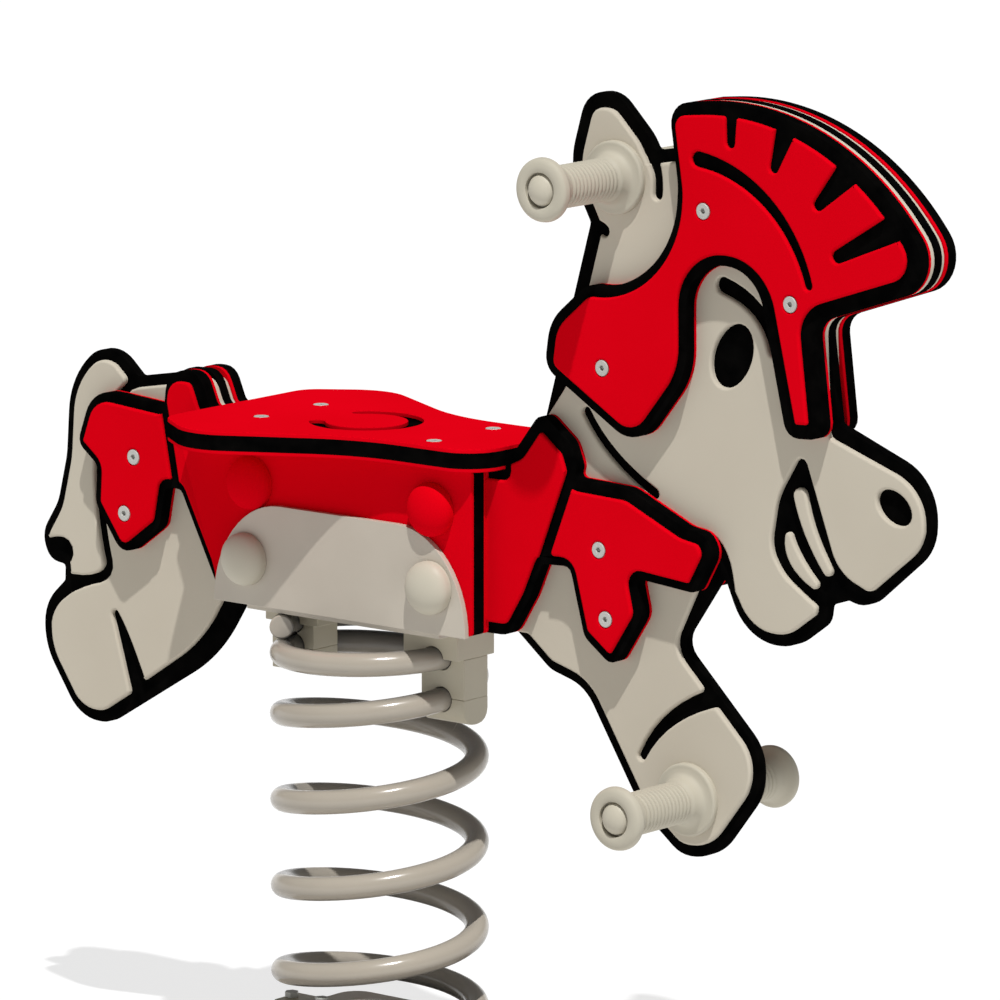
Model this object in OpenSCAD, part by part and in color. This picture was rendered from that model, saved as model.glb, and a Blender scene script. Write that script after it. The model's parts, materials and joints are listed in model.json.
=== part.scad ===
// Spring rider: a horse with a crested helmet, cut from layered sheet, on one coil spring.
// X is forward, Y is the horse's left and Z is up, from the middle of the base plate's underside.

/* [Panels] */
// Length of the sheet blank that every cut outline is a share of
blank_l = 1000; // [900:10:1100]
// Thickness of each layered sheet
sheet_t = 19; // [15:0.5:24]
// Depth of the routed lines
groove_d = 5; // [4:0.25:6]

/* [Seat] */
// Thickness of the seat board
seat_t = 19; // [15:0.5:24]
// Width of the seat across the hips
seat_hip_w = 262; // [230:2:290]
// Width of the seat's rear edge
seat_rear_w = 178; // [160:2:200]
// Width of the seat in front
seat_front_w = 124; // [116:1:140]
// Radius of the routed horseshoe on the seat
shoe_r = 41; // [34:1:46]
// Width of the routed horseshoe
shoe_w = 13; // [8:1:16]

/* [Spring] */
// Diameter of the spring wire
wire_d = 20; // [16:0.5:22]
// Diameter of the coil at the middle of the wire
coil_d = 162; // [150:1:176]
// Number of turns
turns = 7; // [6:1:8]
// Rise of a free turn
free_pitch = 73; // [60:1:90]

/* [Base] */
// Side of the square base plate
base_w = 380; // [340:5:460]
// Thickness of the base plate
base_t = 10; // [6:1:16]
// Distance of the anchor holes from the plate's edges
anchor_in = 30; // [25:1:40]
// Diameter of the anchor holes
anchor_d = 14; // [10:1:20]

/* [Bracket and clamps] */
// Length of the bracket along the horse
plate_l = 271; // [260:1:290]
// Height of the bracket's side plates
plate_h = 87; // [80:1:100]
// Thickness of the bracket's side plates
plate_t = 5.5; // [4:0.5:8]
// Length of each rounded end of the side plates
plate_round = 72; // [50:1:90]
// Thickness of the bracket's web
web_t = 6; // [5:0.5:10]
// Width of a clamp jaw across the horse
jaw_w = 31; // [28:1:40]
// Radius of the front jaw's lower edges
jaw_r = 12; // [4:0.5:14]
// Width of the upper clamp blocks across the horse
block_w = 48; // [42:1:56]
// Reach of the upper clamp blocks inward past the jaws
block_in = 12; // [4:1:20]
// Depth of the front end jaw below the middle of the wire
jaw_front_t = 22; // [18:1:26]
// Depth of the rear end jaw below the middle of the wire
jaw_rear_t = 20; // [18:0.5:24]
// Height of the base jaws above the middle of the wire
jaw_base_t = 15; // [13:0.5:16]
// Diameter of the clamp bolts
clamp_bolt_d = 8; // [6:0.5:9]

/* [Grips and pegs] */
// Length of a grip from the panel
grip_l = 98; // [92:1:115]
// Diameter of the ribbed shaft
grip_d = 35; // [32:0.5:40]
// Diameter of the flange on the panel
flange_d = 60; // [52:1:64]
// Diameter of the round end
knob_d = 51.5; // [48:0.5:58]
// Length of the round end
knob_l = 23; // [18:1:28]
// Number of ribs
grip_ribs = 12; // [8:1:16]
// Diameter of the through rods
rod_d = 14; // [10:0.5:16]
// Diameter of the end caps
plug_d = 28; // [26:0.5:32]

/* [Fasteners] */
// Diameter of the flush screw heads
head_d = 13; // [11:0.5:16]
// Diameter of the screw shanks
shank_d = 8; // [6:0.5:9]
// Diameter of the frame bolts
bolt_d = 12; // [8:0.5:14]
// Distance of the upper frame bolts from the plate's ends
bolt_upper_in = 38; // [30:0.5:45]
// Distance of the lower frame bolts from the plate's ends
bolt_lower_in = 36; // [30:0.5:45]
// Diameter of the domed caps
dome_d = 44.5; // [38:0.5:46]
// Height of the domed caps
dome_h = 16; // [13:0.5:20]

/* [Hidden] */

// Named small sizes
cut = 1;
fit = 0.3;
arc_chord = 7;
ring_turn = 28;
ring_sides = 10;
min_r = 2;
rim_r = 2;

// Colours
beige = [0.78, 0.74, 0.66];
red = [0.88, 0.02, 0.08];
steel = [0.72, 0.69, 0.63];
pale = [0.75, 0.74, 0.71];

// Outlines in shares of the blank: along, up from the panels' lower edge, corner radius, border
body_shares = [
  [0.152, 0.000, 0.002, 0.009], [0.186, -0.027, 0.025, 0.009], [0.222, -0.037, 0.040, 0.010],
  [0.281, -0.131, 0.060, 0.010], [0.3205, -0.162, 0.030, 0.010], [0.3547, -0.162, 0.046, 0.008],
  [0.400, -0.103, 0.044, 0.006], [0.400, -0.067, 0.040, 0.006], [0.320, 0.011, 0.017, 0.005],
  [0.363, 0.074, 0.005, 0.009], [0.387, 0.021, 0.048, 0.010], [0.4335, 0.0222, 0.040, 0.010],
  [0.465, 0.0455, 0.014, 0.008], [0.467, 0.060, 0.003, 0.008], [0.488, 0.067, 0.004, 0.007],
  [0.505, 0.062, 0.024, 0.006], [0.567, 0.1157, 0.040, 0.004], [0.567, 0.171, 0.048, 0.006],
  [0.4755, 0.2062, 0.003, 0.0005], [0.4645, 0.288, 0.016, 0.0005], [0.588, 0.330, 0.030, 0.0005],
  [0.481, 0.4665, 0.2325, 0.0005], [0.320, 0.450, 0.018, 0.0005], [0.3255, 0.4135, 0.002, 0.010],
  [0.292, 0.4075, 0.004, 0.0095], [0.2855, 0.4188, 0.050, 0.0095], [0.2537, 0.4506, 0.028, 0.0125],
  [0.2228, 0.4506, 0.025, 0.013], [0.204, 0.386, 0.058, 0.012], [0.227, 0.344, 0.005, 0.015],
  [0.1795, 0.175, 0.008, 0.0005], [0.165, 0.155, 0.008, 0.0005], [0.154, 0.150, 0.003, 0.0005],
  [0.154, 0.137, 0, 0.0005], [-0.157, 0.137, 0, 0.0005], [-0.157, 0.150, 0.003, 0.0005],
  [-0.165, 0.156, 0.008, 0.0005], [-0.176, 0.182, 0.016, 0.006], [-0.204, 0.181, 0.010, 0.009],
  [-0.216, 0.1755, 0.010, 0.009], [-0.261, 0.1675, 0.004, 0.009], [-0.283, 0.1872, 0.032, 0.009],
  [-0.307, 0.1872, 0.030, 0.009], [-0.3388, 0.1593, 0.070, 0.009], [-0.3435, 0.092, 0.080, 0.009],
  [-0.354, 0.050, 0.040, 0.009], [-0.3735, 0.020, 0.022, 0.009], [-0.3645, -0.002, 0.016, 0.010],
  [-0.3465, -0.004, 0.003, 0.010], [-0.347, -0.018, 0.004, 0.009], [-0.371, -0.0405, 0.040, 0.011],
  [-0.3708, -0.0775, 0.060, 0.010], [-0.3308, -0.1363, 0.040, 0.0075], [-0.2988, -0.1363, 0.024, 0.0075],
  [-0.1779, -0.0637, 0.150, 0.0075], [-0.1375, 0.000, 0.002, 0.0005]];

helmet_shares = [
  [0.1945, 0.2255, 0.018, 0.009], [0.289, 0.169, 0.028, 0.008], [0.339, 0.232, 0.060, 0.006],
  [0.338, 0.325, 0.038, 0.009], [0.408, 0.325, 0.038, 0.014], [0.439, 0.194, 0.014, 0.012],
  [0.476, 0.196, 0.012, 0.012], [0.4645, 0.288, 0.016, 0.013], [0.588, 0.330, 0.030, 0.011],
  [0.481, 0.4665, 0.2325, 0.010], [0.320, 0.450, 0.018, 0.007], [0.330, 0.385, 0.060, 0.008],
  [0.325, 0.296, 0.080, 0.009], [0.238, 0.297, 0.020, 0.010], [0.200, 0.264, 0.040, 0.011]];

saddle_shares = [
  [-0.156, 0.000, 0.004, 0.010], [0.1585, 0.000, 0.016, 0.006], [0.180, 0.035, 0.060, 0.006],
  [0.1925, 0.0635, 0.004, 0.008], [0.221, 0.065, 0.008, 0.008], [0.236, 0.009, 0.014, 0.009],
  [0.266, -0.013, 0.010, 0.007], [0.296, 0.033, 0.016, 0.007], [0.2885, 0.0635, 0.005, 0.008],
  [0.349, 0.0583, 0.008, 0.008], [0.3675, 0.092, 0.016, 0.008], [0.358, 0.1075, 0.014, 0.009],
  [0.338, 0.1105, 0.030, 0.009], [0.281, 0.1355, 0.030, 0.0095], [0.225, 0.1375, 0.004, 0.007],
  [0.228, 0.147, 0.008, 0.009], [0.221, 0.1658, 0.018, 0.011], [0.191, 0.189, 0.010, 0.012],
  [0.165, 0.155, 0.008, 0.010], [0.154, 0.150, 0.003, 0.009], [0.154, 0.137, 0, 0.0085],
  [-0.157, 0.137, 0, 0.009], [-0.157, 0.150, 0.003, 0.010], [-0.165, 0.156, 0.008, 0.010],
  [-0.176, 0.182, 0.016, 0.009], [-0.212, 0.182, 0.022, 0.006], [-0.2155, 0.150, 0.004, 0.008],
  [-0.2965, 0.1563, 0.030, 0.008], [-0.314, 0.108, 0.010, 0.008], [-0.292, 0.091, 0.008, 0.009],
  [-0.294, 0.058, 0.014, 0.009], [-0.263, 0.015, 0.014, 0.007], [-0.222, 0.045, 0.012, 0.005],
  [-0.215, 0.0805, 0.005, 0.008], [-0.1975, 0.0805, 0.006, 0.008]];

side_shares = [[0.138, 0, 0.003], [0.138, 0.137, 0.003], [-0.181, 0.137, 0.004], [-0.139, 0.020, 0.010],
  [-0.139, 0, 0.003]];

// Routed lines in shares of the blank: start, pull and end, then the widths at start and end
neck_line_shares = [[0.226, 0.190], [0.247, 0.156], [0.296, 0.131], 0.009, 0.009];
ear_line_shares = [[0.292, 0.407], [0.300, 0.392], [0.299, 0.376], 0.0085, 0.0085];
ear_root_shares = [[0.222, 0.344], [0.238, 0.343], [0.244, 0.339], 0.012, 0.010];
brow_shares = [[0.369, 0.305], [0.408, 0.297], [0.415, 0.264], 0.012, 0.011];
tail_line_shares = [[-0.304, 0.090], [-0.305, 0.045], [-0.294, 0.006], 0.010, 0.010];
tail_under_shares = [[-0.294, 0.006], [-0.289, -0.015], [-0.350, -0.0135], 0.010, 0.012];
tail_curl_shares = [[-0.362, 0.006], [-0.352, 0.009], [-0.346, 0.008], 0.022, 0.024];
hoof_line_shares = [[0.284, -0.085], [0.306, -0.043], [0.366, -0.025], 0.008, 0.016];
throat_shares = [[0.347, 0.110], [0.378, 0.108], [0.373, 0.066], 0.010, 0.014];
thigh_line_shares = [[-0.286, -0.040], [-0.276, -0.058], [-0.256, -0.114], 0.008, 0.023];
tooth_upper_shares = [[0.4415, 0.146], [0.448, 0.117], [0.469, 0.089], 0.013, 0.009];
tooth_lower_shares = [[0.4305, 0.112], [0.432, 0.093], [0.456, 0.0765], 0.011, 0.009];
mouth_shares = [[0.444, 0.184, 0.006], [0.419, 0.142, 0.060], [0.412, 0.100, 0.030], [0.426, 0.080, 0.040],
  [0.463, 0.056, 0.003], [0.470, 0.030, 0.003], [0.506, 0.050, 0.003], [0.512, 0.077, 0.003],
  [0.480, 0.087, 0.040]];
rear_divide_shares = [[-0.214, 0.156], [-0.206, 0.117], [-0.198, 0.074], 0.009, 0.009];
front_divide_shares = [[0.226, 0.144], [0.209, 0.101], [0.191, 0.055], 0.0105, 0.0105];
crest_slot_shares = [
  [[0.385, 0.424], [0.385, 0.438], [0.386, 0.452], 0.009, 0.012],
  [[0.428, 0.408], [0.435, 0.428], [0.442, 0.447], 0.009, 0.023],
  [[0.4715, 0.3825], [0.488, 0.399], [0.505, 0.416], 0.010, 0.025],
  [[0.4905, 0.3435], [0.521, 0.359], [0.552, 0.3745], 0.011, 0.023]];
// Helmet arc: centre along and up, radius, then its widths at start and end
helmet_arc_shares = [0.3395, 0.2805, 0.1285, 0.013, 0.008];
helmet_arc_from = 84;
helmet_arc_to = 17;
// Eye and nostril: centre along and up, then half lengths
eye_shares = [0.376, 0.252, 0.027, 0.0175];
eye_turn = 75;
nostril_shares = [0.534, 0.147, 0.018, 0.0125];
nostril_turn = -30;
oval_steps = 28;

// Places of the fasteners and grips in shares of the blank
helmet_bolt_shares = [[0.3585, 0.3675], [0.445, 0.3015], [0.257, 0.2315]];
saddle_bolt_shares = [[0.254, 0.083], [0.261, 0.027], [-0.247, 0.103], [-0.258, 0.0535]];
hand_shares = [0.2565, 0.3835];
foot_shares = [0.3325, -0.114];
bolt_upper_over = 14;
bolt_lower_up = 37.3;
seat_under_share = 0.137;
seat_front_share = 0.154;
seat_rear_share = -0.157;
seat_screw_shares = [-0.095, 0.091];

// Seat outline: share of the length from behind, share of the half width there
seat_neck_share = 0.605;
seat_hip_share = 0.195;
seat_hip_r = 50;
seat_rear_r = 26;
seat_neck_r = 170;
seat_front_r = 32;
shoe_share = 0.463;
shoe_open = 42;

// Spring ends
end_gap = 0.3;
closed_turns = 0.85;
ramp_turns = 1.1;
end_angle = 219;
wire_fit = 0.5;

// Clamp bolt places and heads
clamp_wall = 2;
clamp_head_over = 4;
flush_head_over = 2;
clamp_head_h = 5;
clamp_head_d = clamp_bolt_d + clamp_head_over;
flush_head_d = clamp_bolt_d + flush_head_over;
clamp_off = wire_d/2 + wire_fit + clamp_wall + (clamp_bolt_d + fit)/2;
jaw_l = 2*(clamp_off + (clamp_bolt_d + fit)/2 + clamp_wall);
base_r = 20;
lap_share = 0.25;

// Grip profile: share of the step from shaft to rim, then share of the length
collar_l = 15.5;
collar_shares = [[1, 0], [1, 0.2], [0.96, 0.28], [0.86, 0.34], [0.64, 0.37], [0.36, 0.46], [0.18, 0.68], [0.08, 1]];
knob_shares = [[0, 0.08], [0.12, 0.26], [0.42, 0.44], [0.8, 0.58], [1, 0.68], [1, 0.78], [0.9, 0.9], [0.6, 0.975],
  [0.24, 1]];
rib_gap = 3;
rib_d = 1.2;
rib_share = 0.3;
plug_depth = 6;
plug_h = 4;
nut_d = 22;
nut_h = 8;
head_h = 4;
screw_l = 46;
bolt_head_d = 22;
bolt_head_h = 8;
dome_base = 4;

// Derived heights and planes
end_pitch = wire_d + end_gap;
coil_r = coil_d/2;
spring_rise = 2*rise(turns/2);
wire_z = base_t + fit + wire_d/2;
web_z = wire_z + spring_rise + wire_d/2 + fit;
stack_z = web_z + web_t;
core_y = sheet_t/2;
cover_y = core_y + sheet_t;
side_y = cover_y + sheet_t;
seat_z = stack_z + seat_under_share*blank_l;
seat_x0 = seat_rear_share*blank_l + fit;
seat_x1 = seat_front_share*blank_l - fit;
plate_z = stack_z - web_t*lap_share;
anchor_dx = base_w - 2*anchor_in;
web_l = 2*coil_r + jaw_l;

function rise(t) = let (a = closed_turns, b = closed_turns + ramp_turns, k = (free_pitch - end_pitch)/ramp_turns)
  t < a ? end_pitch*t :
  t < b ? end_pitch*t + k*pow(t - a, 2)/2 :
  end_pitch*b + k*pow(ramp_turns, 2)/2 + free_pitch*(t - b);
function wire_h(t) = wire_z + (t < turns/2 ? rise(t) : spring_rise - rise(turns - t));
function slope(t) = (wire_h(t + 0.02) - wire_h(t - 0.02))/0.04/(2*PI*coil_r);
function turn_at(angle, lap) = lap + (angle - end_angle + 360)/360;

// Rounded outlines
function mm(table) = [for (p = table) [for (v = p) v*blank_l]];
function unit(v) = v/norm(v);
function cross2(a, b) = a[0]*b[1] - a[1]*b[0];
function xy(p) = [p[0], p[1]];
function at(p, i) = p[(i + len(p)) % len(p)];
function corner(a, p, b, r) = let (u = unit(a - p), w = unit(b - p), half = acos(max(-1, min(1, u*w)))/2,
    far = r/tan(half), c = p + unit(u + w)*far/cos(half), s = p + u*far, sweep = 180 - 2*half,
    way = cross2(p - a, b - p) > 0 ? 1 : -1, n = max(2, ceil(sweep*PI/180*r/arc_chord) + 1),
    a0 = atan2(s[1] - c[1], s[0] - c[0]))
  sweep < 1 || r == 0 ? [p] : [for (i = [0:n]) c + r*[cos(a0 + way*sweep*i/n), sin(a0 + way*sweep*i/n)]];
function rounded(pts) = [for (i = [0:len(pts) - 1])
  each corner(xy(at(pts, i - 1)), xy(pts[i]), xy(at(pts, i + 1)), pts[i][2])];
function inset(pts) = [for (i = [0:len(pts) - 1]) let (p = xy(pts[i]), u = unit(p - xy(at(pts, i - 1))),
    w = unit(xy(at(pts, i + 1)) - p), d = cross2(u, w), b0 = at(pts, i - 1)[3], b1 = pts[i][3], m = (b0 + b1)/2)
  concat(p - u*b1/d + w*b0/d, [d > 0 ? max(pts[i][2] - m, min_r) : pts[i][2] + m])];

// Tapered lines with round ends
function curve(p, n) = [for (i = [0:n]) let (t = i/n) (1 - t)*(1 - t)*p[0] + 2*t*(1 - t)*p[1] + t*t*p[2]];
function sweep2(pts, w0, w1) = let (n = len(pts) - 1,
    dir = [for (i = [0:n]) unit(pts[min(i + 1, n)] - pts[max(i - 1, 0)])],
    half = [for (i = [0:n]) (w0 + (w1 - w0)*i/n)/2])
  concat([for (i = [0:n]) pts[i] + half[i]*[dir[i][1], -dir[i][0]]],
    [for (k = [1:5]) pts[n] + half[n]*(cos(30*k)*[dir[n][1], -dir[n][0]] + sin(30*k)*dir[n])],
    [for (i = [n:-1:0]) pts[i] - half[i]*[dir[i][1], -dir[i][0]]],
    [for (k = [1:5]) pts[0] - half[0]*(cos(30*k)*[dir[0][1], -dir[0][0]] + sin(30*k)*dir[0])]);
line_steps = 8;
arc_steps = 18;

module line(s) {
  p = s*blank_l;
  polygon(sweep2(curve(p, line_steps), p[3], p[4]));
}
module oval(s, turn) {
  p = s*blank_l;
  polygon([for (i = [0:oval_steps - 1]) let (a = 360*i/oval_steps, q = [p[2]*cos(a), p[3]*sin(a)])
    [p[0] + q[0]*cos(turn) - q[1]*sin(turn), p[1] + q[0]*sin(turn) + q[1]*cos(turn)]]);
}
module outline(table) polygon(rounded(mm(table)));
module island(table) polygon(rounded(inset(mm(table))));

// A drawing in the plane of the horse, as a slab between two planes across it
module slab(y0, y1) translate([0, y1, stack_z]) rotate([90, 0, 0]) linear_extrude(y1 - y0) children();
module side_slab(side, a, b) slab(side > 0 ? a : -b, side > 0 ? b : -a) children();
module bore(p, y0, y1, d) translate([p[0], y0, stack_z + p[1]]) rotate([-90, 0, 0]) cylinder(d = d, h = y1 - y0, $fn = 32);
module bores(points, d) for (p = points) bore(p, -side_y - cut, side_y + cut, d);
module flush_bore(p) {
  bore(p, -side_y, side_y, shank_d + fit);
  bore(p, cover_y - head_h - fit, cover_y + cut, head_d + fit);
  bore(p, -cover_y - cut, -cover_y + head_h + fit, head_d + fit);
}
frame_bolt_points = [for (s = [-1, 1]) each [[s*(plate_l/2 - bolt_upper_in), plate_h + bolt_upper_over],
  [s*(plate_l/2 - bolt_lower_in), bolt_lower_up]]];
module frame_bores() bores(frame_bolt_points, bolt_d + fit);

// Base
module base_plate() color(steel) difference() {
  linear_extrude(base_t) polygon(rounded([for (q = [[-1, -1], [1, -1], [1, 1], [-1, 1]])
    [q[0]*base_w/2, q[1]*base_w/2, base_r]]));
  for (x = [-1, 1], y = [-1, 1]) translate([x*anchor_dx/2, y*anchor_dx/2, -cut])
    cylinder(d = anchor_d, h = base_t + 2*cut, $fn = 32);
  two_ways() clamp_bores(0, base_t);
}

// A wire's place in a clamp, as a tilted ring
module wire_ring(t, z) translate([0, 0, z]) rotate([atan(slope(t))*(cos(end_angle + 360*t) > 0 ? 1 : -1), 0, 0])
  rotate_extrude($fn = 96) translate([coil_r, 0]) circle(d = wire_d + 2*wire_fit, $fn = 24);
module jaw(w, z0, z1, inward, r) translate([coil_r - jaw_l/2 - inward, 0, z0]) rotate([90, 0, 90])
  linear_extrude(jaw_l + inward) polygon(rounded([[-w/2, 0, r], [w/2, 0, r], [w/2, z1 - z0, 0], [-w/2, z1 - z0, 0]]));
module clamp_bores(z0, z1) for (s = [-1, 1]) translate([coil_r + s*clamp_off, 0, z0 - cut])
  cylinder(d = clamp_bolt_d + fit, h = z1 - z0 + 2*cut, $fn = 32);
module clamp_bolt(z0, z1, head_up) for (s = [-1, 1]) translate([coil_r + s*clamp_off, 0, 0]) {
  translate([0, 0, z0]) cylinder(d = clamp_bolt_d, h = z1 - z0, $fn = 32);
  translate([0, 0, head_up ? z1 : z0])
    cylinder(d = head_up ? clamp_head_d : flush_head_d, h = clamp_head_h, $fn = head_up ? 6 : 32);
}
module flush_bores(z0) for (s = [-1, 1]) translate([coil_r + s*clamp_off, 0, z0 - cut])
  cylinder(d = flush_head_d + fit, h = clamp_head_h + fit + cut, $fn = 32);
module two_ways() for (a = [0, 180]) rotate([0, 0, a]) children();

// The turn of the wire that each clamp holds, front then rear
base_turns = [turn_at(0, 0), turn_at(180, 0)];
low_turns = [turn_at(0, turns - 2), turn_at(180, turns - 2)];
top_turns = [turn_at(0, turns - 1), turn_at(180, turns - 1)];
module base_block(i) rotate([0, 0, 180*i]) difference() {
  jaw(jaw_w, base_t, wire_h(base_turns[i]), 0, 0);
  clamp_bores(base_t, wire_h(base_turns[i]));
  rotate([0, 0, 180*i]) wire_ring(base_turns[i], wire_h(base_turns[i]));
}
module base_jaw(i) rotate([0, 0, 180*i]) difference() {
  jaw(jaw_w, wire_h(base_turns[i]), wire_h(base_turns[i]) + jaw_base_t, 0, 0);
  clamp_bores(wire_h(base_turns[i]), wire_h(base_turns[i]) + jaw_base_t);
  rotate([0, 0, 180*i]) wire_ring(base_turns[i], wire_h(base_turns[i]));
}
module base_blocks() color(steel) for (i = [0, 1]) base_block(i);
module base_jaws() color(steel) for (i = [0, 1]) base_jaw(i);
module base_bolts() color(pale) for (i = [0, 1]) rotate([0, 0, 180*i])
  clamp_bolt(0, wire_h(base_turns[i]) + jaw_base_t, true);

// The spring: one unbroken tube
function coil_point(t) = [coil_r*cos(end_angle + 360*t), coil_r*sin(end_angle + 360*t), wire_h(t)];
rings = turns*ring_turn;
coil_points = [for (i = [0:rings]) coil_point(i/ring_turn)];
coil_tube = [for (i = [0:rings]) let (a = end_angle + 360*i/ring_turn, n = [cos(a), sin(a), 0],
    d = unit(coil_points[min(i + 1, rings)] - coil_points[max(i - 1, 0)]), b = cross(d, n))
  for (k = [0:ring_sides - 1]) coil_points[i] + wire_d/2*(cos(360*k/ring_sides)*n + sin(360*k/ring_sides)*b)];
coil_gap = min([for (i = [0:rings - 1], j = [i + floor(ring_turn*0.75):1:min(rings, i + ceil(ring_turn*1.25))])
  norm(coil_points[i] - coil_points[j])]) - wire_d;
echo("least gap of the spring to itself in mm", coil_gap);
module spring() color(steel) polyhedron(coil_tube, concat(
  [for (i = [0:rings - 1], k = [0:ring_sides - 1]) let (m = (k + 1) % ring_sides, a = i*ring_sides, b = a + ring_sides)
    each [[a + k, b + k, a + m], [a + m, b + k, b + m]]],
  [for (k = [1:ring_sides - 2]) [0, k, k + 1]],
  [for (k = [1:ring_sides - 2]) let (e = rings*ring_sides) [e, e + k + 1, e + k]]));

// Bracket under the panels and the clamps on the spring's top
function plate_end(from) = [for (i = [0:oval_steps/2]) let (a = from + 90*i/(oval_steps/2))
  [plate_round*cos(a) + (from == 0 ? 1 : -1)*(plate_l/2 - plate_round), plate_h*sin(a)]];
module spring_bracket() color(beige) difference() {
  union() {
    for (s = [-1, 1]) translate([0, 0, plate_z - stack_z]) side_slab(s, side_y, side_y + plate_t)
      polygon(concat(plate_end(0), plate_end(90)));
    translate([-web_l/2, -side_y, web_z]) cube([web_l, 2*side_y, web_t]);
  }
  for (p = frame_bolt_points) bore(p, -side_y - plate_t - cut, side_y + plate_t + cut, bolt_d + fit);
  two_ways() clamp_bores(web_z, stack_z);
}
module clamp_block(i) rotate([0, 0, 180*i]) difference() {
  jaw(block_w, wire_h(top_turns[i]), web_z, block_in, 0);
  clamp_bores(wire_h(top_turns[i]), web_z);
  rotate([0, 0, 180*i]) wire_ring(top_turns[i], wire_h(top_turns[i]));
}
module clamp_mid_jaw(i) rotate([0, 0, 180*i]) difference() {
  jaw(jaw_w, wire_h(low_turns[i]), wire_h(top_turns[i]), 0, 0);
  clamp_bores(wire_h(low_turns[i]), wire_h(top_turns[i]));
  rotate([0, 0, 180*i]) wire_ring(top_turns[i], wire_h(top_turns[i]));
  rotate([0, 0, 180*i]) wire_ring(low_turns[i], wire_h(low_turns[i]));
}
function end_z(i) = wire_h(low_turns[i]) - (i == 0 ? jaw_front_t : jaw_rear_t);
module clamp_end_jaw(i) rotate([0, 0, 180*i]) difference() {
  jaw(jaw_w, end_z(i), wire_h(low_turns[i]), 0, i == 0 ? jaw_r : 0);
  clamp_bores(end_z(i), wire_h(low_turns[i]));
  flush_bores(end_z(i));
  rotate([0, 0, 180*i]) wire_ring(low_turns[i], wire_h(low_turns[i]));
}
module clamp_blocks() color(steel) for (i = [0, 1]) clamp_block(i);
module clamp_mid_jaws() color(steel) for (i = [0, 1]) clamp_mid_jaw(i);
module clamp_end_jaws() color(steel) for (i = [0, 1]) clamp_end_jaw(i);
module clamp_bolts() color(pale) for (i = [0, 1]) rotate([0, 0, 180*i])
  clamp_bolt(end_z(i), stack_z, false);

// The horse's own panel, whole where the covers lie on it
module body_lines() {
  for (s = [neck_line_shares, ear_line_shares, ear_root_shares, brow_shares, tail_line_shares, tail_under_shares,
    tail_curl_shares, hoof_line_shares, throat_shares, thigh_line_shares]) line(s);
  oval(eye_shares, eye_turn);
  oval(nostril_shares, nostril_turn);
  difference() {
    outline(mouth_shares);
    line(tooth_upper_shares);
    line(tooth_lower_shares);
  }
}
module body_face() difference() {
  island(body_shares);
  body_lines();
}
module body_panel() color(beige) difference() {
  union() {
    slab(-core_y + groove_d, core_y - groove_d) outline(body_shares);
    for (s = [-1, 1]) side_slab(s, core_y - groove_d, core_y) body_face();
  }
  bores(mm(helmet_bolt_shares), shank_d + fit);
  bores(mm(saddle_bolt_shares), shank_d + fit);
  bores([hand_shares*blank_l, foot_shares*blank_l], rod_d + fit);
  frame_bores();
}

// Covers on both sides of the horse's panel
module helmet(side) color(red) difference() {
  union() {
    side_slab(side, core_y, cover_y - groove_d) outline(helmet_shares);
    side_slab(side, cover_y - groove_d, cover_y) difference() {
      island(helmet_shares);
      for (s = crest_slot_shares) line(s);
      helmet_arc();
    }
  }
  for (p = mm(helmet_bolt_shares)) flush_bore(p);
}
module helmet_arc() {
  p = helmet_arc_shares*blank_l;
  polygon(sweep2([for (i = [0:arc_steps]) let (a = helmet_arc_from + (helmet_arc_to - helmet_arc_from)*i/arc_steps)
    xy(p) + p[2]*[cos(a), sin(a)]], p[3], p[4]));
}
module helmet_right() helmet(-1);
module helmet_left() helmet(1);

module saddle(side) color(red) difference() {
  union() {
    side_slab(side, core_y, cover_y - groove_d) outline(saddle_shares);
    side_slab(side, cover_y - groove_d, cover_y) saddle_face();
  }
  for (p = mm(saddle_bolt_shares)) flush_bore(p);
  frame_bores();
}
module saddle_face() {
  difference() {
    island(saddle_shares);
    line(rear_divide_shares);
    line(front_divide_shares);
  }
  intersection() {
    outline(saddle_shares);
    outline(side_shares);
  }
}
module saddle_right() saddle(-1);
module saddle_left() saddle(1);

module side(way) color(red) difference() {
  side_slab(way, cover_y, side_y) outline(side_shares);
  frame_bores();
  seat_screw_bores();
}
module side_right() side(-1);
module side_left() side(1);

// Seat
seat_l = seat_x1 - seat_x0;
module seat_outline() {
  rear = seat_rear_w/2;
  front = seat_front_w/2;
  hip = seat_hip_w/2;
  half = [[0, rear, seat_rear_r], [seat_hip_share*seat_l, hip, seat_hip_r],
    [seat_neck_share*seat_l, front, seat_neck_r], [seat_l, front, seat_front_r]];
  polygon(rounded(concat([for (p = half) [seat_x0 + p[0], -p[1], p[2]]],
    [for (i = [3:-1:0]) [seat_x0 + half[i][0], half[i][1], half[i][2]]])));
}
module seat_screw_places() for (x = seat_screw_shares, y = [-1, 1])
  translate([x*blank_l, y*(cover_y + side_y)/2, seat_z + seat_t]) children();
module seat_screw_bores() seat_screw_places() {
  translate([0, 0, -screw_l - fit]) cylinder(d = shank_d + fit, h = screw_l + cut, $fn = 24);
  translate([0, 0, -head_h - fit]) cylinder(d = head_d + fit, h = head_h + fit + cut, $fn = 32);
}
module seat() color(red) difference() {
  translate([0, 0, seat_z]) linear_extrude(seat_t) seat_outline();
  seat_screw_bores();
  translate([seat_x0 + shoe_share*seat_l, 0, seat_z + seat_t - groove_d]) linear_extrude(groove_d + cut)
    polygon(sweep2([for (i = [0:2*arc_steps]) let (a = shoe_open - 180 + (360 - 2*shoe_open)*i/(2*arc_steps))
      shoe_r*[cos(a), sin(a)]], shoe_w, shoe_w));
}
module seat_screws() color(pale) seat_screw_places() {
  translate([0, 0, -screw_l]) cylinder(d = shank_d, h = screw_l - head_h, $fn = 24);
  translate([0, 0, -head_h]) cylinder(d = head_d, h = head_h, $fn = 32);
}

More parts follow.
